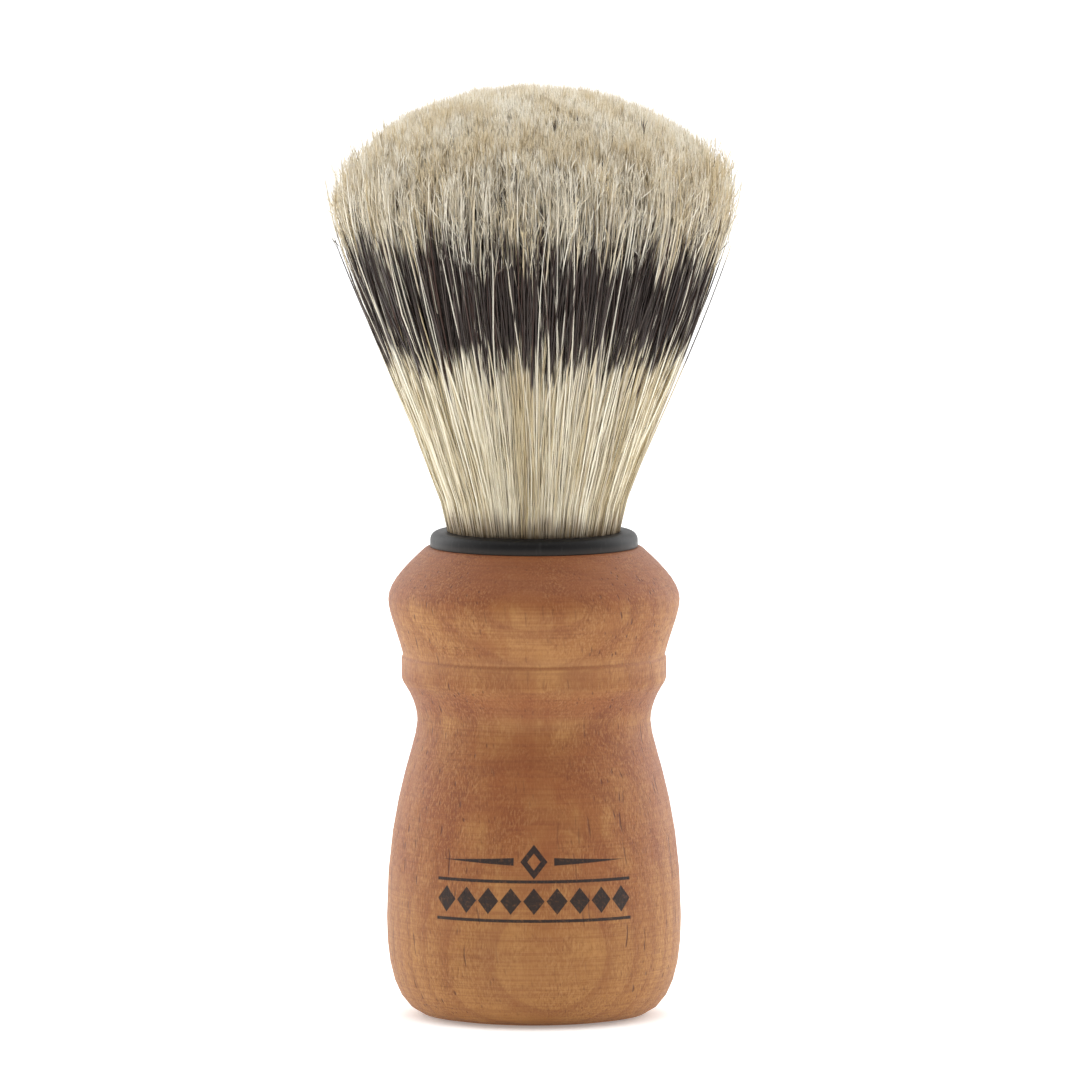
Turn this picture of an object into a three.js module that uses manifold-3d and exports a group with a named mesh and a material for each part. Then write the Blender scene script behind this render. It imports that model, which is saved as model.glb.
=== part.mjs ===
// A shaving brush: a turned beech handle, a black moulded cup that is glued into the handle's socket,
// and a knot of boar bristles that is bound with cord and potted in resin inside the cup.
// Millimetres, +Z up. The origin is the middle of the flat foot that the brush stands on.
//
// The free length of the bristles is divided into a fixed core and a ring of locks round it. A lock is one
// solid that can hinge outwards at the cup's mouth, as bristles do when the brush is pressed on a face.

import * as THREE from "three";
import { mergeVertices } from "three/addons/utils/BufferGeometryUtils.js";
import Module from "manifold-3d";

// ---- Driving dimensions ----

// Handle: radii of the turned outline. The belly is measured up from the foot, the rest down from the top.
const handleHeight = 60;
const footRadius = 12.5;
const bellyRadius = 18.8;
const bellyHeight = 12.5;
const waistRadius = 14.9;
const waistDrop = 22.3;
const beadRadius = 16.9;
const beadDrop = 15.25;
const beadWidth = 2.3;
const beadRoundHeight = 1.3; // the round under the bead
const beadRoundDepth = 0.5;
const grooveDepth = 0.2; // the shallow V-groove on top of the bead
const grooveWidth = 0.6;
const shoulderRadius = 18.6;
const shoulderDrop = 6.7;
const topEdgeRound = 1.0;
const topFaceMargin = 0.1; // wood that shows round the flange

// Cup: the flange that shows, and the skirt inside the socket.
const mouthRadius = 10.6;
const cupWall = 1.0;
const cupFloor = 1.2;
const skirtLength = 13.7;
const skirtChamfer = 0.6;
const flangeReach = 1.65; // past the skirt
const flangeHeight = 2.0;
const flangeRound = 1.1;
const mouthRound = 0.5;
const socketClearance = 0.4; // between the skirt and the wood
const adhesiveThickness = 0.7;
const adhesiveMargin = 1.1; // from the skirt's side to the edge of the glue

// Potting: the bristles' roots, the cord round them and the resin.
const resinDepth = 10.8;
const resinFloor = 1.2;
const bindingDraw = 2.6; // how far the cord draws the roots in from the mouth's radius
const cordDiameter = 0.8;
const cordTurns = 3;
const cordPitch = 1.1;
const cordRise = 1.6; // from the butt end of the roots to the first turn
const buttRound = 0.5;
const potGap = 0.3; // between pieces that touch inside the cup

// Free bristles.
const loft = 56.9; // from the cup's rim to the top of the crown
const fanRadius = 24.8; // at the widest point
const crownHeight = 15.4; // from the widest point to the top
const fringeFlare = 0.2; // how far the fringe overhangs the mouth at its foot
const fringeDepth = 4.3; // across the ring of locks at its foot
const coreLean = 0.17; // how far the core widens for each millimetre up
const lockCount = 16;
const lockGap = 0.4;
const hingeGap = 0.3; // between the rim and the free bristles

// Facets.
const turnedSides = 48;
const hiddenSides = 32;
const curveSteps = 7;

// ---- What follows from them ----

const waistHeight = handleHeight - waistDrop;
const shoulderHeight = handleHeight - shoulderDrop;
const beadBottom = handleHeight - beadDrop - beadWidth / 2;
const beadTop = beadBottom + beadWidth;

const skirtRadius = mouthRadius + cupWall;
const flangeRadius = skirtRadius + flangeReach;
const topFaceRadius = flangeRadius + topFaceMargin;
const rimHeight = handleHeight + flangeHeight;
const cupBottom = handleHeight - skirtLength;
const cupInside = cupBottom + cupFloor;
const socketRadius = skirtRadius + socketClearance;
const adhesiveBottom = cupBottom - potGap - adhesiveThickness;
const socketFloor = adhesiveBottom - potGap;

const rootRadius = mouthRadius - bindingDraw;
const neckRadius = mouthRadius - potGap;
const resinRadius = mouthRadius - potGap;
const resinBottom = cupInside + potGap;
const resinTop = resinBottom + resinDepth;
const pocketFloor = resinBottom + resinFloor;
const buttHeight = pocketFloor + potGap;
const cordRadius = rootRadius + potGap + cordDiameter / 2;
const firstTurn = buttHeight + cordRise;
const lastTurn = firstTurn + cordTurns * cordPitch;
const throatHeight = lastTurn + cordDiameter / 2 + potGap;

const freeBottom = rimHeight + hingeGap;
const hingeRadius = mouthRadius + fringeFlare;
const crownTop = rimHeight + loft;
const fanHeight = crownTop - crownHeight;

// ---- Helpers ----

const wasm = await Module();
wasm.setup();

// Turns an outline of points (radius, height) about +Z. It runs anticlockwise, with the axis on its left.
function turned(outline, sides) {
  return new THREE.LatheGeometry(outline, sides).rotateX(Math.PI / 2);
}

function points(pairs) {
  return pairs.map(([radius, height]) => new THREE.Vector2(radius, height));
}

// Carries a path on to a point by a curve that starts and ends upright. The two shares say how much of the
// rise it spends near each end.
function uprightCurve(path, radius, height, startShare, endShare) {
  const from = path.currentPoint;
  const rise = height - from.y;
  path.bezierCurveTo(from.x, from.y + startShare * rise, radius, height - endShare * rise, radius, height);
}

function solidOf(geometry) {
  const bare = geometry.clone();
  bare.deleteAttribute("normal");
  bare.deleteAttribute("uv");
  const merged = mergeVertices(bare);
  return new wasm.Manifold(
    new wasm.Mesh({
      numProp: 3,
      vertProperties: merged.attributes.position.array,
      triVerts: merged.index.array,
    }),
  );
}

function geometryOf(solid) {
  const { vertProperties, triVerts } = solid.getMesh();
  const geometry = new THREE.BufferGeometry();
  geometry.setAttribute("position", new THREE.BufferAttribute(vertProperties, 3));
  geometry.setIndex(new THREE.BufferAttribute(triVerts, 1));
  geometry.computeVertexNormals();
  return geometry;
}

function finish(color, roughness) {
  return new THREE.MeshStandardMaterial({ color, roughness, metalness: 0 });
}

const brush = new THREE.Group();

function add(name, geometry, material) {
  const mesh = new THREE.Mesh(geometry, material);
  mesh.name = name;
  brush.add(mesh);
  return mesh;
}

// ---- Handle ----

// The foot's round, belly, waist, crease, bead, groove, shoulder and top, then the socket down the middle.
function handleOutline() {
  const creaseHeight = beadBottom - beadRoundHeight;
  const creaseRadius = beadRadius - beadRoundDepth;
  const waistRise = creaseHeight - waistHeight;
  const neckHeight = beadTop + grooveWidth;
  const neckWall = beadRadius - 0.6 * grooveDepth;
  const shoulderRise = shoulderHeight - neckHeight;
  const topRoundStart = handleHeight - topEdgeRound / 2;
  const topRoundRadius = topFaceRadius + 0.9 * topEdgeRound;
  const topRise = topRoundStart - shoulderHeight;

  const path = new THREE.Path();
  path.moveTo(0, 0);
  path.lineTo(footRadius, 0);
  path.bezierCurveTo(
    footRadius + 0.74 * (bellyRadius - footRadius), 0,
    bellyRadius, 0.41 * bellyHeight,
    bellyRadius, bellyHeight,
  );
  uprightCurve(path, waistRadius, waistHeight, 0.6, 0.12);
  path.bezierCurveTo(
    waistRadius, waistHeight + 0.1 * waistRise,
    waistRadius, creaseHeight - 0.5 * waistRise,
    creaseRadius, creaseHeight,
  );
  path.quadraticCurveTo(beadRadius, creaseHeight + 0.5 * beadRoundHeight, beadRadius, beadBottom);
  path.lineTo(beadRadius, beadTop);
  path.lineTo(beadRadius - grooveDepth, beadTop + grooveWidth / 2);
  path.lineTo(neckWall, neckHeight);
  path.bezierCurveTo(
    neckWall + 0.33 * (shoulderRadius - neckWall), neckHeight + 0.36 * shoulderRise,
    shoulderRadius, shoulderHeight - 0.25 * shoulderRise,
    shoulderRadius, shoulderHeight,
  );
  path.bezierCurveTo(
    shoulderRadius, shoulderHeight + 0.33 * topRise,
    topRoundRadius + 0.49 * (shoulderRadius - topRoundRadius), shoulderHeight + 0.68 * topRise,
    topRoundRadius, topRoundStart,
  );
  path.quadraticCurveTo(topFaceRadius + 0.4 * topEdgeRound, handleHeight, topFaceRadius, handleHeight);
  path.lineTo(socketRadius, handleHeight);
  path.lineTo(socketRadius, socketFloor);
  path.lineTo(0, socketFloor);
  return path.getPoints(curveSteps);
}

// ---- Cup ----

// A flange with a rounded rim that sits on the handle's top face, and a closed skirt down in the socket.
function cupOutline() {
  const path = new THREE.Path();
  path.moveTo(0, cupBottom);
  path.lineTo(skirtRadius - skirtChamfer, cupBottom);
  path.lineTo(skirtRadius, cupBottom + skirtChamfer);
  path.lineTo(skirtRadius, handleHeight);
  path.lineTo(flangeRadius, handleHeight);
  path.absarc(flangeRadius - flangeRound, rimHeight - flangeRound, flangeRound, 0, Math.PI / 2, false);
  path.absarc(mouthRadius + mouthRound, rimHeight - mouthRound, mouthRound, Math.PI / 2, Math.PI, false);
  path.lineTo(mouthRadius, cupInside);
  path.lineTo(0, cupInside);
  return path.getPoints(3);
}

// The pool of glue on the socket's floor, under the cup.
function adhesiveOutline() {
  const reach = skirtRadius - adhesiveMargin;
  const top = adhesiveBottom + adhesiveThickness;
  const path = new THREE.Path();
  path.moveTo(0, adhesiveBottom);
  path.lineTo(reach, adhesiveBottom);
  path.quadraticCurveTo(reach + adhesiveThickness / 2, (adhesiveBottom + top) / 2, reach, top);
  path.lineTo(0, top);
  return path.getPoints(3);
}

// ---- Potting ----

// The roots, from their rounded butt end, past the binding, to the cup's rim.
function rootsOutline() {
  return points([
    [0, buttHeight],
    [rootRadius - buttRound, buttHeight],
    [rootRadius, buttHeight + buttRound],
    [rootRadius, throatHeight],
    [neckRadius, rimHeight],
    [0, rimHeight],
  ]);
}

// The resin, with a pocket for the roots and room round the binding.
function resinOutline() {
  const flare = (neckRadius - rootRadius) / (rimHeight - throatHeight);
  const rootsAtTop = rootRadius + flare * (resinTop - throatHeight);
  const bindingRadius = cordRadius + cordDiameter / 2 + potGap;
  const bindingFloor = firstTurn - cordDiameter / 2 - potGap;
  return points([
    [0, resinBottom],
    [resinRadius, resinBottom],
    [resinRadius, resinTop],
    [rootsAtTop + potGap, resinTop],
    [bindingRadius, throatHeight],
    [bindingRadius, bindingFloor],
    [rootRadius + potGap, bindingFloor],
    [rootRadius + potGap, pocketFloor],
    [0, pocketFloor],
  ]);
}

class BindingPath extends THREE.Curve {
  getPoint(t, target = new THREE.Vector3()) {
    const angle = 2 * Math.PI * cordTurns * t;
    const height = firstTurn + cordTurns * cordPitch * t;
    return target.set(cordRadius * Math.cos(angle), cordRadius * Math.sin(angle), height);
  }
}

function bindingGeometry() {
  const section = new THREE.Shape().absarc(0, 0, cordDiameter / 2, 0, 2 * Math.PI, false);
  return new THREE.ExtrudeGeometry(section, {
    extrudePath: new BindingPath(),
    steps: 24 * cordTurns,
    curveSegments: 3,
  });
}

// ---- Free bristles ----

// The fan's side as it leaves the mouth, and the crown over it to the axis.
function fanCurves() {
  const rise = fanHeight - freeBottom;
  const spread = fanRadius - hingeRadius;
  const path = new THREE.Path();
  path.moveTo(hingeRadius, freeBottom);
  path.bezierCurveTo(
    hingeRadius + 0.17 * spread, freeBottom + 0.24 * rise,
    fanRadius - 0.16 * spread, fanHeight - 0.32 * rise,
    fanRadius, fanHeight,
  );
  path.bezierCurveTo(fanRadius, fanHeight + 0.33 * crownHeight, 0.72 * fanRadius, crownTop, 0, crownTop);
  return path.curves;
}

// The wall between the core and the locks, as a radius at a height.
function ringWall(height) {
  return hingeRadius - fringeDepth + coreLean * (height - freeBottom);
}

// How far along the crown it meets a wall.
function crownMeets(crown, wall) {
  let outside = 0;
  let inside = 1;
  for (let i = 0; i < 30; i += 1) {
    const middle = (outside + inside) / 2;
    const point = crown.getPoint(middle);
    if (point.x > wall(point.y)) outside = middle;
    else inside = middle;
  }
  return outside;
}

function crownPoints(crown, start, end, steps) {
  return Array.from({ length: steps + 1 }, (_, i) => crown.getPoint(start + ((end - start) * i) / steps));
}

function fringeOutline() {
  const [side, crown] = fanCurves();
  const foot = new THREE.Vector2(ringWall(freeBottom), freeBottom);
  const edge = crownPoints(crown, 0, crownMeets(crown, ringWall), 6);
  return [foot, ...side.getPoints(8), ...edge.slice(1), foot.clone()];
}

function coreOutline() {
  const crown = fanCurves()[1];
  const wall = (height) => ringWall(height) - lockGap;
  const edge = crownPoints(crown, crownMeets(crown, wall), 1, 6);
  return [...points([[0, freeBottom], [wall(freeBottom), freeBottom]]), ...edge];
}

// One sector of the fringe, centred on +X, with half a gap trimmed off each side.
function lockGeometry() {
  const half = Math.PI / lockCount;
  const reach = 2 * fanRadius;
  const nose = lockGap / 2 / Math.sin(half);
  const sector = new THREE.Shape(
    points([
      [nose, 0],
      [nose + reach, -reach * Math.tan(half)],
      [nose + reach, reach * Math.tan(half)],
    ]),
  );
  const wedge = new THREE.ExtrudeGeometry(sector, { depth: 2 * crownTop, bevelEnabled: false });
  return geometryOf(solidOf(turned(fringeOutline(), turnedSides)).intersect(solidOf(wedge)));
}

// ---- The brush ----

const beech = finish("#a56f45", 0.45);
const blackPlastic = finish("#2b2a29", 0.5);
const glue = finish("#d9cfb4", 0.4);
const resin = finish("#8a6a3c", 0.3);
const twine = finish("#e4dcc6", 0.9);
const boarBristle = finish("#cfc19c", 0.7);

add("handle", turned(handleOutline(), turnedSides), beech);
add("knot_cup", turned(cupOutline(), turnedSides), blackPlastic);
add("socket_adhesive", turned(adhesiveOutline(), hiddenSides), glue);
add("resin_plug", turned(resinOutline(), hiddenSides), resin);
add("binding_cord", bindingGeometry(), twine);
add("bristle_roots", turned(rootsOutline(), hiddenSides), boarBristle);
add("bristle_core", turned(coreOutline(), hiddenSides), boarBristle);

const lockShape = lockGeometry();
for (let i = 0; i < lockCount; i += 1) {
  const number = String(i + 1).padStart(2, "0");
  const lock = add(`bristle_lock_${number}`, lockShape, boarBristle);
  lock.rotation.z = (2 * Math.PI * i) / lockCount;
}

export default brush;
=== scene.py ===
import math

import bmesh
import bpy
import numpy as np
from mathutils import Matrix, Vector, noise


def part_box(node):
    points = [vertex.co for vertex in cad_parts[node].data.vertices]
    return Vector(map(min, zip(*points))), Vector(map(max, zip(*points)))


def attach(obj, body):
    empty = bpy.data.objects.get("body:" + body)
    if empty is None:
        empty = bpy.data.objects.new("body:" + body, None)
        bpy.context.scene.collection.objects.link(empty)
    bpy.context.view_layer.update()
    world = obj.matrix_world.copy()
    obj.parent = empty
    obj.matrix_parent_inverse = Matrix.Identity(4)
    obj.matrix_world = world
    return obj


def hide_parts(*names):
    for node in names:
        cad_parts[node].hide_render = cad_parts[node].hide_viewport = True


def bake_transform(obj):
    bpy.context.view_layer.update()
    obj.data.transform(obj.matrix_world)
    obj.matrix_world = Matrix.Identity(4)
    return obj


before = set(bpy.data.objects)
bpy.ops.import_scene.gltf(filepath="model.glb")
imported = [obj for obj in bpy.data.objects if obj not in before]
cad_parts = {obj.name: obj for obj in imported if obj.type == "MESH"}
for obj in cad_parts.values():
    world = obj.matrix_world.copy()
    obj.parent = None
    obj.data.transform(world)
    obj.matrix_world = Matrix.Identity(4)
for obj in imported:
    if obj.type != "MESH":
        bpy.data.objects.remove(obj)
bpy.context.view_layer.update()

# A shaving brush: a turned beech handle, a black moulded cup and a banded knot of boar bristles.
# Every length is in metres, in the frame's own axes: +Z up, the ornament on the -Y side.

MM = 0.001
WELD = 1e-6
UP = Vector((0, 0, 1))
ROOT = "handle"  # the body that everything fixed rides on

handle_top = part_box("handle")[1].z
rim_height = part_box("knot_cup")[1].z
locks = sorted(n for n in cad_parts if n.startswith("bristle_lock_"))


# ---- Node trees ----


def linear(red, green, blue):
    """A shader colour from the three 0 to 255 values that a colour picker shows."""
    shares = [value / 255 for value in (red, green, blue)]
    return tuple(s / 12.92 if s <= 0.04045 else ((s + 0.055) / 1.055) ** 2.4 for s in shares) + (1.0,)


class Tree:
    """Places nodes in one node tree and wires them. An input is a value or another node's output."""

    def __init__(self, tree):
        self.tree = tree

    def put(self, kind, inputs=None, **settings):
        node = self.tree.nodes.new(kind)
        for name, value in settings.items():
            setattr(node, name, value)
        for name, value in (inputs or {}).items():
            self.wire(node.inputs[name], value)
        return node

    def wire(self, socket, value):
        if isinstance(value, bpy.types.NodeSocket):
            self.tree.links.new(value, socket)
        else:
            socket.default_value = value

    def math(self, operation, *values):
        return self.put("ShaderNodeMath", dict(enumerate(values)), operation=operation).outputs[0]

    def ramp(self, value, low, high, start=0.0, end=1.0):
        """Eases from start to end while value goes from low to high."""
        inputs = {"Value": value, "From Min": low, "From Max": high, "To Min": start, "To Max": end}
        return self.put("ShaderNodeMapRange", inputs, interpolation_type="SMOOTHSTEP").outputs[0]

    def blend(self, share, first, second, mode="MIX"):
        """Two colours mixed; share is how much of the second."""
        node = self.put("ShaderNodeMix", data_type="RGBA", blend_type=mode)
        self.wire(node.inputs[0], share)
        self.wire(node.inputs[6], first)
        self.wire(node.inputs[7], second)
        return node.outputs[2]

    def noise(self, vector, scale, detail=2.0, roughness=0.5):
        inputs = {"Vector": vector, "Scale": scale, "Detail": detail, "Roughness": roughness}
        return self.put("ShaderNodeTexNoise", inputs).outputs[0]

    def stretched(self, vector, scale, turn=(0, 0, 0)):
        inputs = {"Vector": vector, "Scale": scale, "Rotation": turn}
        return self.put("ShaderNodeMapping", inputs).outputs[0]

    def group(self, shared, **inputs):
        node = self.put("ShaderNodeGroup", node_tree=shared)
        for name, value in inputs.items():
            self.wire(node.inputs[name], value)
        return node.outputs


def new_group(name, inputs, outputs):
    """A shader node group with named sockets. Returns its tree and the sockets of its inputs."""
    shared = bpy.data.node_groups.new(name, "ShaderNodeTree")
    for socket, kind, value in inputs:
        made = shared.interface.new_socket(socket, in_out="INPUT", socket_type=kind)
        if value is not None:
            made.default_value = value
    for socket in outputs:
        shared.interface.new_socket(socket, in_out="OUTPUT", socket_type="NodeSocketFloat")
    given = shared.nodes.new("NodeGroupInput").outputs
    return Tree(shared), given, shared.nodes.new("NodeGroupOutput").inputs


def new_material(name, **constants):
    """A material with one Principled BSDF, and the constants set on the shader's own sockets."""
    material = bpy.data.materials.new(name)
    material.use_nodes = True
    tree = Tree(material.node_tree)
    shader = material.node_tree.nodes["Principled BSDF"]
    for socket, value in constants.items():
        shader.inputs[socket.replace("_", " ")].default_value = value
    return material, tree, shader.inputs


def fibre_streaks():
    """Fine streaks along +Z, as in wood, twine and packed bristle. Lengths are in metres."""
    sockets = [
        ("Vector", "NodeSocketVector", None),
        ("Width", "NodeSocketFloat", 0.3 * MM),
        ("Length", "NodeSocketFloat", 6 * MM),
    ]
    tree, given, result = new_group("fibre streaks", sockets, ["Streak"])
    across = tree.math("DIVIDE", 1.0, given["Width"])
    along = tree.math("DIVIDE", 1.0, given["Length"])
    scale = tree.put("ShaderNodeCombineXYZ", {"X": across, "Y": across, "Z": along}).outputs[0]
    place = tree.put("ShaderNodeVectorMath", {0: given["Vector"], 1: scale}, operation="MULTIPLY").outputs[0]
    tree.wire(result["Streak"], tree.noise(place, 1.0, detail=3.0, roughness=0.6))
    return tree.tree


def handling_marks():
    """Soft blotches and fine scuffs that handling leaves on a smooth surface."""
    sockets = [("Vector", "NodeSocketVector", None), ("Size", "NodeSocketFloat", 6 * MM)]
    tree, given, result = new_group("handling marks", sockets, ["Blotch", "Scuff"])
    scale = tree.math("DIVIDE", 1.0, given["Size"])
    tree.wire(result["Blotch"], tree.noise(given["Vector"], scale, detail=3.0))
    finer = tree.math("MULTIPLY", scale, 9.0)
    scuff = tree.noise(tree.stretched(given["Vector"], (1, 1, 0.25), (0.5, 0.3, 0)), finer, detail=2.0)
    tree.wire(result["Scuff"], tree.ramp(scuff, 0.55, 0.75))
    return tree.tree


streaks = fibre_streaks()
marks = handling_marks()


# ---- Materials ----


def object_place(tree):
    return tree.put("ShaderNodeTexCoord").outputs["Object"]


def growth_rings(tree, place):
    """Flat-sawn rings round a pith far behind the handle. 1 on the thin dark late wood of each ring."""
    pith_distance = 46 * MM
    ring_width = 2.3 * MM
    bend = tree.noise(place, 30.0, detail=1.0)
    bend = tree.math("MULTIPLY", tree.math("SUBTRACT", bend, 0.5), 9 * MM)
    at = tree.put("ShaderNodeSeparateXYZ", {0: place}).outputs
    depth = tree.math("SUBTRACT", at["Y"], pith_distance)
    leaned = tree.math("MULTIPLY_ADD", at["Z"], 0.02, depth)
    squares = tree.math("ADD", tree.math("POWER", at["X"], 2.0), tree.math("POWER", leaned, 2.0))
    reach = tree.math("SQRT", squares)
    ring = tree.math("FRACT", tree.math("DIVIDE", tree.math("ADD", reach, bend), ring_width))
    return tree.math("MULTIPLY", tree.ramp(ring, 0.45, 0.93), tree.ramp(ring, 1.0, 0.95))


def wood_flecks(tree, place, width, length, size):
    """Lens-shaped flecks along +Z: short ones are pores, long ones hairline checks. 1 on a fleck."""
    scaled = tree.stretched(place, (1 / width, 1 / width, 1 / length))
    nearest = tree.put("ShaderNodeTexVoronoi", {"Vector": scaled, "Scale": 1.0, "Randomness": 1.0})
    return tree.ramp(nearest.outputs["Distance"], size, size * 0.4)


def ornament(tree, place):
    """A dark border on the front of the belly: a row of lozenges under one between tapering rules."""
    height = 19 * MM
    radius = 18.5 * MM
    half_width = 13.2 * MM
    at = tree.put("ShaderNodeSeparateXYZ", {0: place}).outputs
    front = tree.math("MULTIPLY", at["Y"], -1.0)
    along = tree.math("MULTIPLY", tree.math("ARCTAN2", at["X"], front), radius)
    away = tree.math("ABSOLUTE", along)

    def level(offset):
        return tree.math("ABSOLUTE", tree.math("SUBTRACT", at["Z"], height + offset))

    def inside(value, limit):
        soft = 0.06 * MM
        return tree.ramp(value, limit + soft, limit - soft)

    row_pitch = half_width / 4.5
    cell = tree.math("FRACT", tree.math("MULTIPLY_ADD", along, 1 / row_pitch, 0.5))
    off_centre = tree.math("ABSOLUTE", tree.math("SUBTRACT", cell, 0.5))
    sideways = tree.math("MULTIPLY", off_centre, row_pitch)
    slope = 1.25
    lozenges = inside(tree.math("MULTIPLY_ADD", level(-2.4 * MM), 1 / slope, sideways), 1.35 * MM)
    rules = [inside(level(-2.4 * MM + side * 2.5 * MM), 0.2 * MM) for side in (1, -1)]
    lower = tree.math("MAXIMUM", lozenges, tree.math("MAXIMUM", *rules))
    lower = tree.math("MULTIPLY", lower, inside(away, half_width))

    thinning = tree.math("MULTIPLY_ADD", away, -0.05, 0.62 * MM)
    taper = inside(tree.math("SUBTRACT", level(2.6 * MM), thinning), 0.0)
    taper = tree.math("MULTIPLY", taper, inside(tree.math("MULTIPLY", away, -1.0), -2.6 * MM))
    centre = tree.math("MULTIPLY_ADD", level(2.6 * MM), 1 / slope, away)
    hollow = tree.math("SUBTRACT", 1.0, inside(centre, 0.85 * MM))
    ring = tree.math("MULTIPLY", inside(centre, 1.75 * MM), hollow)
    upper = tree.math("MAXIMUM", taper, ring)

    mask = tree.math("MAXIMUM", lower, upper)
    mask = tree.math("MULTIPLY", mask, tree.math("GREATER_THAN", front, 0.0))
    grain = tree.noise(place, 2500.0, detail=2.0)
    return tree.math("MULTIPLY", mask, tree.ramp(grain, 0.15, 0.5, 0.7, 1.0))


def beech_material():
    material, tree, shader = new_material("stained beech", Coat_Roughness=0.4, Specular_IOR_Level=0.3)
    place = object_place(tree)
    facing = tree.put("ShaderNodeNewGeometry").outputs["Normal"]
    upward = tree.put("ShaderNodeSeparateXYZ", {0: facing}).outputs["Z"]
    late = growth_rings(tree, place)
    broad = tree.group(streaks, Vector=place, Width=4 * MM, Length=18 * MM)["Streak"]
    mottle = tree.noise(place, 130.0, detail=3.0)
    above_foot = tree.put("ShaderNodeSeparateXYZ", {0: place}).outputs["Z"]
    golden = tree.math("MULTIPLY_ADD", mottle, 8 * MM, above_foot)
    golden = tree.ramp(golden, 0.46 * handle_top, 0.2 * handle_top, 0.0, 0.55)
    # Painted shade: the wood is darker in the crease under the bead, where shade falls.
    below_bead = tree.math("ABSOLUTE", tree.math("SUBTRACT", above_foot, 0.68 * handle_top))
    crease = tree.ramp(below_bead, 2.6 * MM, 0.6 * MM)
    soaked = tree.math("MULTIPLY_ADD", tree.math("SUBTRACT", mottle, 0.5), 1.0, upward)
    # Stain soaked deeper into up-facing end grain, joined with the painted crease shade.
    soaked = tree.math("MAXIMUM", tree.ramp(soaked, -0.25, 0.45), tree.math("MULTIPLY", crease, 0.8))

    # Raised fibres: strongest in patches and on the flanks, where the rings are cut edge on.
    drift = tree.put("ShaderNodeTexNoise", {"Vector": place, "Scale": 260.0, "Detail": 1.0}).outputs["Color"]
    drift = tree.put("ShaderNodeVectorMath", {0: drift, 1: (0.5, 0.5, 0.5)}, operation="SUBTRACT").outputs[0]
    drift = tree.put("ShaderNodeVectorMath", {0: drift, "Scale": 1.1 * MM}, operation="SCALE").outputs[0]
    bent = tree.put("ShaderNodeVectorMath", {0: place, 1: drift}, operation="ADD").outputs[0]
    grain = tree.group(streaks, Vector=bent, Width=0.2 * MM, Length=0.7 * MM)["Streak"]
    flank = tree.math("ABSOLUTE", tree.put("ShaderNodeSeparateXYZ", {0: facing}).outputs["X"])
    patch = tree.math("MULTIPLY_ADD", flank, 0.5, tree.noise(place, 170.0, detail=2.0))
    rough = tree.ramp(patch, 0.42, 0.85, 0.3, 1.0)
    fibre = tree.math("MULTIPLY", tree.ramp(grain, 0.5, 0.68), rough)
    pores = tree.math("MULTIPLY", wood_flecks(tree, bent, 0.45 * MM, 2.2 * MM, 0.24), rough)
    leaning = tree.stretched(bent, (1, 1, 1), (0, math.radians(5), 0))
    checks = wood_flecks(tree, leaning, 0.8 * MM, 26 * MM, 0.2)
    checks = tree.math("MULTIPLY", checks, tree.ramp(flank, 0.15, 0.6, 0.35, 1.0))
    rings_left = tree.stretched(place, (90.0, 90.0, 4200.0))
    lathe = tree.noise(rings_left, 1.0, detail=2.0)
    turned = tree.ramp(lathe, 0.4, 0.68)

    colour = tree.blend(tree.ramp(mottle, 0.3, 0.7), linear(171, 120, 68), linear(159, 106, 58))
    colour = tree.blend(tree.ramp(broad, 0.38, 0.62), colour, linear(149, 94, 49))
    # Darker where stain soaked into end grain, and painted shade in the crease under the bead.
    colour = tree.blend(tree.math("MULTIPLY", soaked, 0.8), colour, linear(136, 75, 40))
    colour = tree.blend(golden, colour, linear(172, 122, 66))
    colour = tree.blend(tree.math("MULTIPLY", late, 0.35), colour, linear(124, 68, 36))
    colour = tree.blend(tree.math("MULTIPLY", turned, 0.34), colour, linear(120, 66, 36))
    raised = tree.math("MULTIPLY", tree.ramp(grain, 0.5, 0.36), rough)
    colour = tree.blend(tree.math("MULTIPLY", raised, 0.24), colour, linear(206, 158, 104))
    colour = tree.blend(tree.math("MULTIPLY", fibre, 0.38), colour, linear(104, 56, 30))
    colour = tree.blend(tree.math("MULTIPLY", pores, 0.42), colour, linear(92, 46, 24))
    colour = tree.blend(tree.math("MULTIPLY", checks, 0.75), colour, linear(76, 38, 24))
    # Eased ring edges lighter: partly wear, partly a painted highlight.
    worn_and_lit_edge = tree.put("ShaderNodeAttribute", attribute_name="edge_wear_and_highlight").outputs["Fac"]
    colour = tree.blend(tree.math("MULTIPLY", worn_and_lit_edge, 0.2), colour, linear(196, 146, 98))
    mark = ornament(tree, place)
    colour = tree.blend(tree.math("MULTIPLY", mark, 0.94), colour, linear(22, 20, 22))

    wear = tree.group(marks, Vector=place, Size=9 * MM)
    gloss = tree.math("MULTIPLY_ADD", wear["Blotch"], 0.16, 0.52)
    gloss = tree.math("MULTIPLY_ADD", wear["Scuff"], 0.08, gloss)
    height = tree.math("MULTIPLY_ADD", fibre, -0.8, tree.math("MULTIPLY", turned, -0.25))
    for relief, depth in ((pores, -0.7), (checks, -1.6), (mark, -0.7)):
        height = tree.math("MULTIPLY_ADD", relief, depth, height)
    tree.wire(shader["Base Color"], colour)
    tree.wire(shader["Roughness"], gloss)
    tree.wire(shader["Coat Weight"], tree.math("MULTIPLY_ADD", mark, -0.06, 0.1))
    bump = tree.put("ShaderNodeBump", {"Height": height, "Strength": 0.7, "Distance": 0.06 * MM})
    tree.wire(shader["Normal"], bump.outputs[0])
    return material


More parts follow.
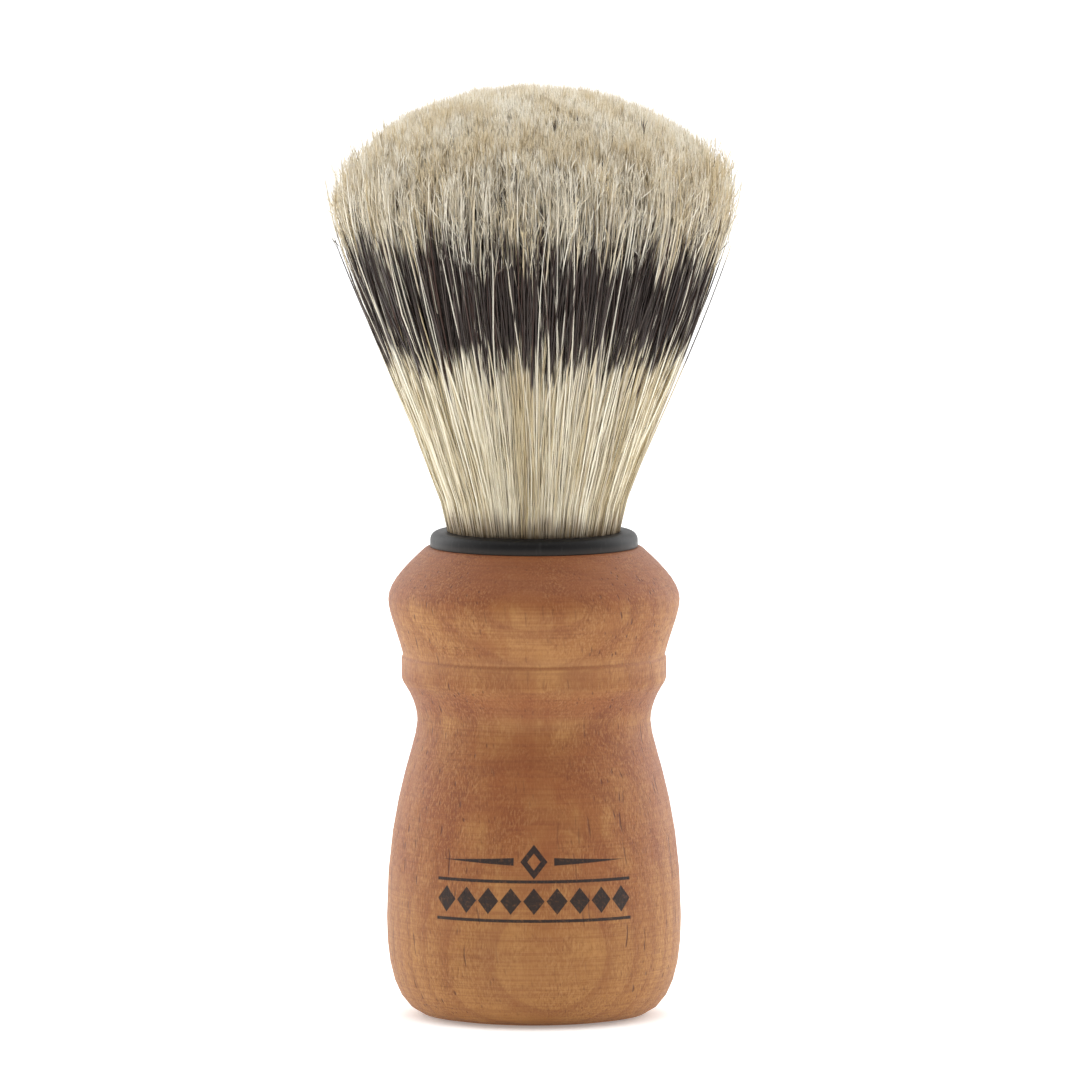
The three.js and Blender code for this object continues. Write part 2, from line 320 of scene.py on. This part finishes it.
def black_plastic_material():
    material, tree, shader = new_material("black moulded plastic", Specular_IOR_Level=0.2)
    place = object_place(tree)
    wear = tree.group(marks, Vector=place, Size=4 * MM)
    grain = tree.noise(place, 5200.0, detail=2.0)
    # Eased edges lighter: partly wear, partly a painted highlight.
    worn_and_lit_edge = tree.put("ShaderNodeAttribute", attribute_name="edge_wear_and_highlight").outputs["Fac"]
    colour = tree.blend(wear["Blotch"], linear(12, 11, 11), linear(24, 22, 22))
    colour = tree.blend(tree.math("MULTIPLY", wear["Scuff"], 0.25), colour, linear(54, 52, 51))
    colour = tree.blend(tree.math("MULTIPLY", worn_and_lit_edge, 0.3), colour, linear(96, 88, 82))
    gloss = tree.math("MULTIPLY_ADD", wear["Blotch"], 0.18, 0.34)
    tree.wire(shader["Base Color"], colour)
    tree.wire(shader["Roughness"], tree.math("MULTIPLY_ADD", grain, 0.12, gloss))
    height = tree.math("MULTIPLY_ADD", wear["Scuff"], -0.3, grain)
    bump = tree.put("ShaderNodeBump", {"Height": height, "Strength": 0.2, "Distance": 0.02 * MM})
    tree.wire(shader["Normal"], bump.outputs[0])
    return material


SECTION_SIDES = 3
BRISTLE_MAP = "OFBake"  # across: a bristle's shade column; up: how far along the bristle
SHADES = 48  # shade columns on the map
UNDYED = 4  # how many of the last columns have almost no dark band
MAP_REACH = 56 * MM  # how much of a bristle's length the map holds
BAND_TOP = 38 * MM  # how far along an ordinary bristle its dark band ends
map_bottom = rim_height - 2 * MM


def bristle_material():
    """Cream boar bristle with a dyed dark band. A column of the map is one shade of bristle: tan ones
    come first, then the pale ones and last the few that took no dye."""
    material, tree, shader = new_material("boar bristle", Specular_IOR_Level=0.4)
    spot = tree.put("ShaderNodeUVMap", uv_map=BRISTLE_MAP).outputs[0]
    on_map = tree.put("ShaderNodeSeparateXYZ", {0: spot}).outputs
    column = tree.math("FLOOR", tree.math("MULTIPLY", on_map["X"], float(SHADES)))
    height = tree.math("MULTIPLY", on_map["Y"], MAP_REACH)

    def chances(offset):
        """Three chances from 0 to 1 that are fixed for each column."""
        number = tree.math("MULTIPLY_ADD", column, 1.37, offset)
        drawn = tree.put("ShaderNodeTexWhiteNoise", {"W": number}, noise_dimensions="1D").outputs["Color"]
        return tree.put("ShaderNodeSeparateColor", {0: drawn}).outputs

    first = chances(0.5)
    second = chances(211.5)
    third = chances(97.5)
    along = tree.put("ShaderNodeCombineXYZ", {"X": tree.math("MULTIPLY", column, 7.3), "Y": on_map["Y"]})
    streak = tree.noise(tree.stretched(along.outputs[0], (1, 26, 1)), 1.0, detail=3.0)

    low_edge = tree.math("MULTIPLY_ADD", first[0], 6.0 * MM, BAND_TOP - 17.0 * MM)
    high_edge = tree.math("MULTIPLY_ADD", first[1], 4.5 * MM, BAND_TOP - 2.5 * MM)
    above = tree.ramp(tree.math("SUBTRACT", height, low_edge), -0.8 * MM, 1.0 * MM)
    below = tree.ramp(tree.math("SUBTRACT", height, high_edge), 1.2 * MM, -1.0 * MM)
    took_dye = tree.ramp(on_map["X"], 1 - UNDYED / SHADES, 0.999 - UNDYED / SHADES, 0.15, 1.0)
    dyed = tree.math("MULTIPLY", tree.math("MULTIPLY", above, below), took_dye)

    tone = tree.math("MULTIPLY_ADD", second[0], 0.5, tree.math("MULTIPLY_ADD", on_map["X"], 0.8, -0.15))
    upper = tree.ramp(height, 10 * MM, BAND_TOP)
    pale = tree.blend(upper, linear(252, 245, 222), linear(254, 248, 231))
    tan = tree.blend(upper, linear(202, 184, 142), linear(226, 208, 170))
    cream = tree.blend(tree.ramp(tone, 0.0, 0.9), tan, pale)
    cream = tree.blend(tree.ramp(second[1], 0.82, 0.95, 0.0, 0.5), cream, linear(152, 130, 100))
    dark = tree.blend(second[2], linear(48, 40, 38), linear(80, 67, 61))
    dark = tree.blend(tree.ramp(third[0], 0.8, 0.95, 0.0, 0.6), dark, linear(92, 64, 54))
    dark = tree.blend(tree.ramp(third[1], 0.88, 0.97, 0.0, 0.7), dark, linear(140, 133, 124))
    colour = tree.blend(dyed, cream, dark)
    colour = tree.blend(tree.ramp(streak, 0.3, 0.75, 0.0, 0.2), colour, linear(130, 102, 70), mode="MULTIPLY")
    # Darker at the foot just above the cup's rim: partly glue stain, partly painted shade where the bristles
    # crowd into the cup.
    stained = tree.math("MULTIPLY_ADD", first[1], 2.0 * MM, 3.4 * MM)
    stained = tree.ramp(tree.math("SUBTRACT", height, stained), 0.8 * MM, -1.6 * MM, 0.0, 0.7)
    colour = tree.blend(stained, colour, linear(124, 100, 74))
    tree.wire(shader["Base Color"], colour)
    tree.wire(shader["Roughness"], tree.math("MULTIPLY_ADD", streak, 0.2, 0.36))
    bump = tree.put("ShaderNodeBump", {"Height": streak, "Strength": 0.15, "Distance": 0.02 * MM})
    tree.wire(shader["Normal"], bump.outputs[0])
    return material


def roots_material():
    material, tree, shader = new_material("resin-soaked roots", Roughness=0.4)
    place = object_place(tree)
    strand = tree.group(streaks, Vector=place, Width=0.25 * MM, Length=9 * MM)["Streak"]
    colour = tree.blend(tree.ramp(strand, 0.3, 0.7), linear(92, 68, 42), linear(170, 140, 96))
    tree.wire(shader["Base Color"], colour)
    bump = tree.put("ShaderNodeBump", {"Height": strand, "Strength": 0.6, "Distance": 0.1 * MM})
    tree.wire(shader["Normal"], bump.outputs[0])
    return material


def twine_material():
    material, tree, shader = new_material("waxed twine", Roughness=0.8)
    place = object_place(tree)
    fibre = tree.group(streaks, Vector=place, Width=0.5 * MM, Length=0.12 * MM)["Streak"]
    tree.wire(shader["Base Color"], tree.blend(fibre, linear(178, 164, 132), linear(232, 222, 200)))
    bump = tree.put("ShaderNodeBump", {"Height": fibre, "Strength": 0.5, "Distance": 0.05 * MM})
    tree.wire(shader["Normal"], bump.outputs[0])
    return material


def cast_material(name, deep, pale, size):
    """Resin or glue that was poured and has set: cloudy, with specks and a few fine bubbles."""
    material, tree, shader = new_material(name, Specular_IOR_Level=0.5)
    place = object_place(tree)
    wear = tree.group(marks, Vector=place, Size=size)
    bubbles = tree.put("ShaderNodeTexVoronoi", {"Vector": place, "Scale": 1 / (0.7 * MM)}).outputs["Distance"]
    pit = tree.ramp(bubbles, 0.16, 0.05)
    colour = tree.blend(wear["Blotch"], deep, pale)
    tree.wire(shader["Base Color"], tree.blend(tree.math("MULTIPLY", pit, 0.5), colour, pale))
    tree.wire(shader["Roughness"], tree.math("MULTIPLY_ADD", wear["Scuff"], 0.3, 0.18))
    height = tree.math("MULTIPLY_ADD", pit, -1.0, wear["Blotch"])
    bump = tree.put("ShaderNodeBump", {"Height": height, "Strength": 0.4, "Distance": 0.08 * MM})
    tree.wire(shader["Normal"], bump.outputs[0])
    return material


# ---- Pieces ----


def shown(name, mesh, material):
    """Puts a finished mesh in the scene with its material."""
    piece = bpy.data.objects.new(name, mesh)
    bpy.context.scene.collection.objects.link(piece)
    mesh.materials.clear()
    mesh.materials.append(material)
    return piece


def half_section(node):
    """The outline of a turned CAD node as a bmesh of one wire in the plane y = 0, x >= 0."""
    bm = bmesh.new()
    bm.from_mesh(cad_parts[node].data)
    bmesh.ops.remove_doubles(bm, verts=bm.verts, dist=WELD)
    everything = [*bm.verts, *bm.edges, *bm.faces]
    bmesh.ops.bisect_plane(
        bm, geom=everything, dist=WELD, plane_co=(0, 0, 0), plane_no=(-1, 0, 0), clear_outer=True
    )
    everything = [*bm.verts, *bm.edges, *bm.faces]
    cut = bmesh.ops.bisect_plane(bm, geom=everything, dist=WELD, plane_co=(0, 0, 0), plane_no=(0, 1, 0))
    kept = {e for e in cut["geom_cut"] if isinstance(e, bmesh.types.BMEdge)}
    corners = {v for e in kept for v in e.verts}
    bmesh.ops.delete(bm, geom=list(bm.faces), context="FACES_ONLY")
    bmesh.ops.delete(bm, geom=[e for e in bm.edges if e not in kept], context="EDGES")
    bmesh.ops.delete(bm, geom=[v for v in bm.verts if v not in corners], context="VERTS")
    axis_wire = [e for e in bm.edges if all(abs(v.co.x) < WELD for v in e.verts)]
    bmesh.ops.delete(bm, geom=axis_wire, context="EDGES")
    bmesh.ops.dissolve_limit(bm, angle_limit=math.radians(0.5), verts=bm.verts, edges=bm.edges)
    return bm


def turned_piece(name, node, material, sides, edge_round):
    """A fine turning from a CAD node's outline, with its crisp rings eased and marked for a lighter colour:
    partly wear, partly a painted highlight.
    """
    bm = half_section(node)
    geometry = [*bm.verts, *bm.edges]
    spin = {"cent": (0, 0, 0), "axis": UP, "dvec": (0, 0, 0), "angle": 2 * math.pi, "steps": sides}
    bmesh.ops.spin(bm, geom=geometry, use_merge=True, **spin)
    bmesh.ops.remove_doubles(bm, verts=bm.verts, dist=WELD)
    bmesh.ops.recalc_face_normals(bm, faces=bm.faces)
    crisp = [e for e in bm.edges if e.is_manifold and e.calc_face_angle() > math.radians(24)]
    rings = [e for e in crisp if abs(e.verts[0].co.z - e.verts[1].co.z) < WELD]
    rounding = {"offset": edge_round, "offset_type": "OFFSET", "segments": 3, "profile": 0.5}
    eased = bmesh.ops.bevel(bm, geom=rings, affect="EDGES", material=-1, **rounding)
    # The eased rings are marked for a lighter colour: partly wear, partly a painted highlight.
    wear = bm.verts.layers.float.new("edge_wear_and_highlight")
    for face in eased["faces"]:
        for vert in face.verts:
            vert[wear] = 1.0
    bmesh.ops.remove_doubles(bm, verts=bm.verts, dist=WELD)
    for face in bm.faces:
        face.smooth = True
    mesh = bpy.data.meshes.new(name)
    bm.to_mesh(mesh)
    bm.free()
    piece = shown(name, mesh, material)
    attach(piece, ROOT)
    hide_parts(node)


# ---- Bristles ----

# How many long bristles a lock or the core has, the points along each, its clumps and its split ends.
LOCK_BRISTLES, LOCK_POINTS, LOCK_CLUMPS, LOCK_ENDS = 1050, 12, 18, 1600
CORE_BRISTLES, CORE_POINTS, CORE_CLUMPS, CORE_ENDS = 4200, 6, 240, 14000


def fan_outline():
    """The knot's outline in the CAD: (height, radius) up the side, (radius, height) over the crown."""
    found = {}
    for node in (locks[0], "bristle_core"):
        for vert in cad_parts[node].data.vertices:
            if abs(vert.co.y) < WELD and vert.co.x > -WELD:
                height = round(vert.co.z, 6)
                found[height] = max(found.get(height, 0.0), vert.co.x)
    widest = max(found, key=found.get)
    side = sorted((h, r) for h, r in found.items() if h <= widest)
    crown = sorted((r, h) for h, r in found.items() if h >= widest)
    return np.array(side), np.array(crown)


side_line, crown_line = fan_outline()
fan_radius = side_line[-1][1]
core_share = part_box("bristle_core")[1].x / fan_radius
sector = 2 * math.pi / len(locks)


def radius_at(height):
    return np.interp(height, side_line[:, 0], side_line[:, 1])


def crown_at(radius):
    return np.interp(radius, crown_line[:, 0], crown_line[:, 1])


class Tuft:
    """Long bristles in one part of the knot. Each has a place: a share of the knot's radius, at an angle."""

    def __init__(self, seed, count, inner, outer, angle, spread, blur):
        self.draw = draw = np.random.default_rng(seed)
        self.count = count
        share = np.sqrt(draw.uniform(inner**2, outer**2, count))
        share += np.where(share < 0.96, draw.normal(0, blur, count), 0.0)
        turn = angle + draw.uniform(-spread / 2, spread / 2, count)
        turn += draw.normal(0, 1.5 * blur, count)
        self.share = np.clip(share, 0.002, 1.0)
        # The fringe is 0 inside the knot and 1 on its outside.
        self.fringe = np.clip((self.share - 0.74) / 0.26, 0, 1) ** 1.5
        self.outward = np.stack([np.cos(turn), np.sin(turn)], 1)
        self.sideways = np.stack([-np.sin(turn), np.cos(turn)], 1)
        self.place = self.share[:, None] * self.outward
        self.loose = (self.share > 0.88) & (draw.random(count) < 0.2)  # stray bristles on the outside

    def gather(self, number):
        """Shares the bristles out among clumps: the one whose middle is nearest."""
        middles = self.place[self.draw.choice(self.count, number, replace=False)]
        apart = np.linalg.norm(self.place[:, None] - middles[None], axis=2)
        self.clump = apart.argmin(1)
        self.middle = middles[self.clump]

    def grow(self, points, start):
        """Points up each bristle from a start height to its tip: an array of (bristle, point, xyz)."""
        draw, count, fringe = self.draw, self.count, self.fringe
        clump = self.clump
        tip = crown_at(self.share * fan_radius) + self.chance(1) * (0.26 + 0.9 * fringe) * MM
        tip += self.chance(1, clump.max() + 1)[clump] * (0.1 + 1.6 * fringe) * MM
        tip -= np.minimum(draw.exponential(1.0, count), 3.5) * (0.1 + 2.0 * fringe) * MM
        tip += np.where(self.loose, draw.uniform(-2.5, 2.0, count), 0.0) * MM
        steps = 1 - (1 - np.linspace(0, 1, points - 1)) ** 1.25
        steps = np.insert(steps, 1, 0.012)[None, :]
        height = start + (tip[:, None] - start) * steps
        radius = (radius_at(height) - 0.9 * MM * fringe[:, None] * steps)[:, :, None]
        pull = draw.uniform(0.0, 0.3, clump.max() + 1)[clump]
        pull = pull + draw.uniform(0.5, 0.85, count) * fringe**0.5
        pull = np.where(self.loose, 0.2, np.minimum(pull, 0.95))
        pull = pull[:, None, None] * np.clip((steps[:, :, None] - 0.3) / 0.6, 0, 1) ** 1.3
        flat = self.place[:, None, :] * radius
        flat += (self.middle[:, None, :] * radius - flat) * pull

        crossing = np.where(self.loose | (draw.random(count) < 0.2), 2.4, 0.6) * MM
        aside = self.chance(1) * crossing * (0.4 + 0.8 * fringe)
        spread = np.where(draw.random(count) < 0.06, 1.2, 0.35) * MM
        out = self.chance(1) * spread + np.abs(self.chance(1)) * 0.4 * MM * fringe
        out += np.where(self.loose, draw.uniform(0.2, 2.0, count), 0.0) * MM
        flat += (self.sideways * aside[:, None])[:, None, :] * steps[:, :, None] ** 1.2
        flat += (self.outward * out[:, None])[:, None, :] * steps[:, :, None] ** 1.5
        for begins, bend in ((0.5, 0.6), (0.8, 0.5)):
            size = np.where(self.loose, 0.5, 1.0) * (0.12 + bend * fringe) * MM
            curl = self.chance(2)[:, None, :] * size[:, None, None]
            flat += curl * (np.clip(steps - begins, 0, 1) / (1 - begins))[:, :, None] ** 2
        wave = draw.normal(0, 0.22 * MM, (count, 1, 2))
        phase = draw.uniform(0, 2 * math.pi, (count, 1))
        beat = draw.uniform(0.5, 2.2, (count, 1))
        ripple = np.sin(phase + 2 * math.pi * beat * steps) * np.minimum(1, 4 * steps)
        flat += wave * ripple[:, :, None]
        return np.concatenate([flat, height[:, :, None]], 2)

    def chance(self, width, count=None):
        """Bell-shaped chances with their far tails cut off."""
        drawn = np.clip(self.draw.normal(0, 1, (count or self.count, width)), -2.2, 2.2)
        return drawn[:, 0] if width == 1 else drawn

    def shades(self):
        """A shade column for each bristle. Neighbours tend to be equally pale, so the crown looks clouded."""
        cloud = [noise.noise(Vector((x, y, 0.0)) * 5.0) for x, y in self.place]
        mixed = np.array(cloud) * 0.9 + self.draw.random(self.count)
        order = mixed.argsort().argsort() / self.count
        undyed = self.draw.random(self.count) < np.where(self.loose, 0.14, 0.03)
        late = SHADES - UNDYED + self.draw.integers(UNDYED, size=self.count)
        return np.where(undyed, late, (order * (SHADES - UNDYED)).astype(int))

    def stretches(self):
        """How much shorter than usual each bristle's markings are. Inside the knot they sit higher."""
        rise = 11 * MM * np.clip((1 - self.share) / 0.4, 0, 1) ** 0.8
        shared = self.chance(1, self.clump.max() + 1)[self.clump]
        rise += (shared * 1.5 + self.chance(1) * 1.5) * MM
        return BAND_TOP / (BAND_TOP + rise)


def split_ends(tuft, paths, count):
    """Short fine ends that branch near the tips of randomly chosen bristles, and those bristles' numbers."""
    draw = tuft.draw
    chosen = draw.integers(len(paths), size=count)
    fringe = tuft.fringe[chosen]
    before, tip = paths[chosen, -2], paths[chosen, -1]
    length = np.linalg.norm(tip - before, axis=1)
    back = np.minimum(draw.uniform(2.0 * MM, 4.0 * MM, count) / length, 0.95)[:, None]
    start = tip + (before - tip) * back
    spread = (0.38 + 0.5 * fringe[:, None]) * np.array([1.0, 1.0, 0.6]) * MM
    end = tip + draw.normal(0, 1, (count, 3)) * spread
    middle = (start + end) / 2 + draw.normal(0, 0.1 * MM, (count, 3))
    return np.stack([start, middle, end], 1), chosen


def thickness(draw, count, stops, sizes, points):
    """Half thickness at each point, with both ends drawn to a point. Some bristles are coarser."""
    along = np.interp(np.linspace(0, 1, points), stops, sizes)
    along[0] = along[-1] = 0.0
    return along[None, :] * draw.uniform(0.7, 1.3, (count, 1))


def bristle_section():
    """The three-sided section that every bristle is drawn with."""
    section = bpy.data.curves.new("bristle section", "CURVE")
    section.dimensions = "3D"
    ring = section.splines.new("POLY")
    ring.points.add(SECTION_SIDES - 1)
    for number, point in enumerate(ring.points):
        turn = 2 * math.pi * number / SECTION_SIDES
        point.co = (math.cos(turn), math.sin(turn), 0, 1)
    ring.use_cyclic_u = True
    holder = bpy.data.objects.new("bristle section", section)
    bpy.context.scene.collection.objects.link(holder)
    return holder


def bristle_piece(name, groups, material):
    """One mesh of many bristles. Each group is (paths, half thicknesses, shade columns, stretches)."""
    curve = bpy.data.curves.new(name, "CURVE")
    curve.dimensions = "3D"
    curve.bevel_mode = "OBJECT"
    curve.bevel_object = section
    turns = np.random.default_rng(len(groups[0][0]))
    for paths, widths, shades, stretches in groups:
        points = paths.shape[1]
        spots = np.concatenate([paths, np.ones((len(paths), points, 1))], 2)
        for spot, width in zip(spots, widths):
            spline = curve.splines.new("POLY")
            spline.points.add(points - 1)
            spline.points.foreach_set("co", spot.ravel())
            spline.points.foreach_set("radius", width)
            spline.points.foreach_set("tilt", np.full(points, turns.uniform(0, 2 * math.pi)))
    holder = bpy.data.objects.new(name, curve)
    bpy.context.scene.collection.objects.link(holder)
    mesh = bpy.data.meshes.new_from_object(holder.evaluated_get(bpy.context.evaluated_depsgraph_get()))
    bpy.data.objects.remove(holder)
    bpy.data.curves.remove(curve)
    faces = [SECTION_SIDES * (g[0].shape[1] - 1) for g in groups]
    column = np.concatenate([np.repeat(g[2], f) for g, f in zip(groups, faces)])
    lay_on_map(mesh, column, np.concatenate([np.repeat(g[3], f) for g, f in zip(groups, faces)]))
    bm = bmesh.new()
    bm.from_mesh(mesh)
    bmesh.ops.remove_doubles(bm, verts=bm.verts, dist=0.1 * WELD)
    bmesh.ops.recalc_face_normals(bm, faces=bm.faces)
    for face in bm.faces:
        face.smooth = True
    bm.to_mesh(mesh)
    bm.free()
    return shown(name, mesh, material)


def lay_on_map(mesh, column, stretch):
    """Each four-cornered face goes to its bristle's shade column, as far up as it is along the bristle."""
    faces, corners = len(mesh.polygons), len(mesh.loops)
    vertex = np.empty(corners, np.int32)
    mesh.loops.foreach_get("vertex_index", vertex)
    places = np.empty(len(mesh.vertices) * 3, np.float32)
    mesh.vertices.foreach_get("co", places)
    height = places[2::3][vertex]
    side = np.tile([0.25, 0.25, 0.75, 0.75], faces)
    across = (np.repeat(column, 4) + side) / SHADES
    up = np.clip((height - map_bottom) * np.repeat(stretch, 4) / MAP_REACH, 0.001, 0.999)
    layer = mesh.uv_layers[0]
    layer.name = BRISTLE_MAP
    layer.uv.foreach_set("vector", np.stack([across, up], 1).astype(np.float32).ravel())


def tuft_groups(tuft, points, clumps, fine_count):
    """A tuft's long bristles, and the fine split ends that fill its crown."""
    tuft.gather(clumps)
    paths = tuft.grow(points, rim_height - 1.2 * MM)
    shades, stretches = tuft.shades(), tuft.stretches()
    stops = [0, 0.12, 0.5, 0.92, 1.0]
    sizes = [0.08 * MM, 0.08 * MM, 0.1 * MM, 0.06 * MM, 0]
    widths = thickness(tuft.draw, tuft.count, stops, sizes, points)
    widths *= np.where(tuft.loose, 1.15, 0.9 + 0.2 * tuft.fringe)[:, None]
    ends, chosen = split_ends(tuft, paths, fine_count)
    fine = thickness(tuft.draw, fine_count, [0, 1], [0.055 * MM, 0.055 * MM], 3)
    return [(paths, widths, shades, stretches), (ends, fine, shades[chosen], stretches[chosen])]


def lock_of_bristles(number, node, material):
    """The outer bristles of one lock, which fan out from the cup's mouth."""
    tuft = Tuft(100 + number, LOCK_BRISTLES, core_share, 1.0, number * sector, sector, 0.015)
    groups = tuft_groups(tuft, LOCK_POINTS, LOCK_CLUMPS, LOCK_ENDS)
    piece = bristle_piece(node.replace("lock", "fringe"), groups, material)
    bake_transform(piece)
    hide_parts(node)


def core_of_bristles(material):
    """The upright bristles in the middle of the knot. Only their crown shows."""
    tuft = Tuft(7, CORE_BRISTLES, 0.0, core_share, 0.0, 2 * math.pi, 0.008)
    groups = tuft_groups(tuft, CORE_POINTS, CORE_CLUMPS, CORE_ENDS)
    piece = bristle_piece("bristle_heart", groups, material)
    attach(piece, ROOT)
    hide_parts("bristle_core")


# ---- Studio ----


def studio():
    """A pale floor, a bright tent of light that is dimmer on the front, two side soft boxes and one above."""
    bm = bmesh.new()
    bmesh.ops.create_circle(bm, cap_ends=True, radius=12.0, segments=96)
    mesh = bpy.data.meshes.new("floor")
    bm.to_mesh(mesh)
    bm.free()
    floor = bpy.data.objects.new("floor", mesh)
    bpy.context.scene.collection.objects.link(floor)
    faint_glow = {"Emission_Color": (1, 1, 1, 1), "Emission_Strength": 0.25}
    material, tree, shader = new_material("pale floor", Roughness=0.9, **faint_glow)
    tone = tree.noise(object_place(tree), 14.0, detail=2.0)
    tree.wire(shader["Base Color"], tree.blend(tone, linear(248, 248, 247), linear(252, 252, 252)))
    mesh.materials.append(material)

    world = bpy.data.worlds.new("light tent")
    bpy.context.scene.world = world
    world.use_nodes = True
    tree = Tree(world.node_tree)
    direction = tree.put("ShaderNodeTexCoord").outputs["Generated"]
    towards = tree.put("ShaderNodeSeparateXYZ", {0: direction}).outputs
    front = tree.ramp(tree.math("MULTIPLY", towards["Y"], -1.0), 0.0, 0.85, 1.45, 0.16)
    backdrop = world.node_tree.nodes["Background"]
    tree.wire(backdrop.inputs["Strength"], front)
    backdrop.inputs["Color"].default_value = (1.0, 1.0, 1.0, 1.0)

    for name, place, size, power in (
        ("left soft box", (-0.7, 0.45, 0.25), (0.8, 0.8), 3.6),
        ("right soft box", (0.7, 0.45, 0.25), (0.8, 0.8), 3.6),
        ("top soft box", (0.0, -0.1, 0.8), (0.7, 0.7), 2.4),
    ):
        light = bpy.data.lights.new(name, "AREA")
        light.shape = "RECTANGLE"
        light.size, light.size_y = size
        light.energy = power
        lamp = bpy.data.objects.new(name, light)
        bpy.context.scene.collection.objects.link(lamp)
        lamp.location = place
        aim = Vector((0, 0, 0.06)) - lamp.location
        lamp.rotation_euler = aim.to_track_quat("-Z", "Y").to_euler()


def camera():
    """A long lens at table height, looking slightly down."""
    elevation = math.radians(5.5)
    distance = 2.0
    across = 137.7 * MM  # what the picture spans at the brush
    lens = bpy.data.cameras.new("camera")
    lens.lens = lens.sensor_width * distance / across
    lens.clip_start, lens.clip_end = 0.1, 60.0
    view = bpy.data.objects.new("camera", lens)
    bpy.context.scene.collection.objects.link(view)
    back = Vector((0, -math.cos(elevation), math.sin(elevation)))
    view.location = Vector((0.77 * MM, 0, 60.8 * MM)) + back * distance
    view.rotation_euler = (-back).to_track_quat("-Z", "Y").to_euler()
    bpy.context.scene.camera = view


# ---- The brush ----

camera()
studio()
bpy.context.scene.view_settings.view_transform = "Standard"

beech = beech_material()
black_plastic = black_plastic_material()
turned_piece("turned_handle", "handle", beech, sides=192, edge_round=0.14 * MM)
turned_piece("moulded_cup", "knot_cup", black_plastic, sides=160, edge_round=0.1 * MM)

boar = bristle_material()
section = bristle_section()
core_of_bristles(boar)
for number, node in enumerate(locks):
    lock_of_bristles(number, node, boar)
bpy.data.objects.remove(section)

for node, material in (
    ("socket_adhesive", cast_material("set glue", linear(206, 196, 166), linear(236, 230, 210), 3 * MM)),
    ("resin_plug", cast_material("amber potting resin", linear(110, 76, 36), linear(172, 132, 76), 5 * MM)),
    ("binding_cord", twine_material()),
    ("bristle_roots", roots_material()),
):
    cad_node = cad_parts[node]
    cad_node.data.materials.clear()
    cad_node.data.materials.append(material)
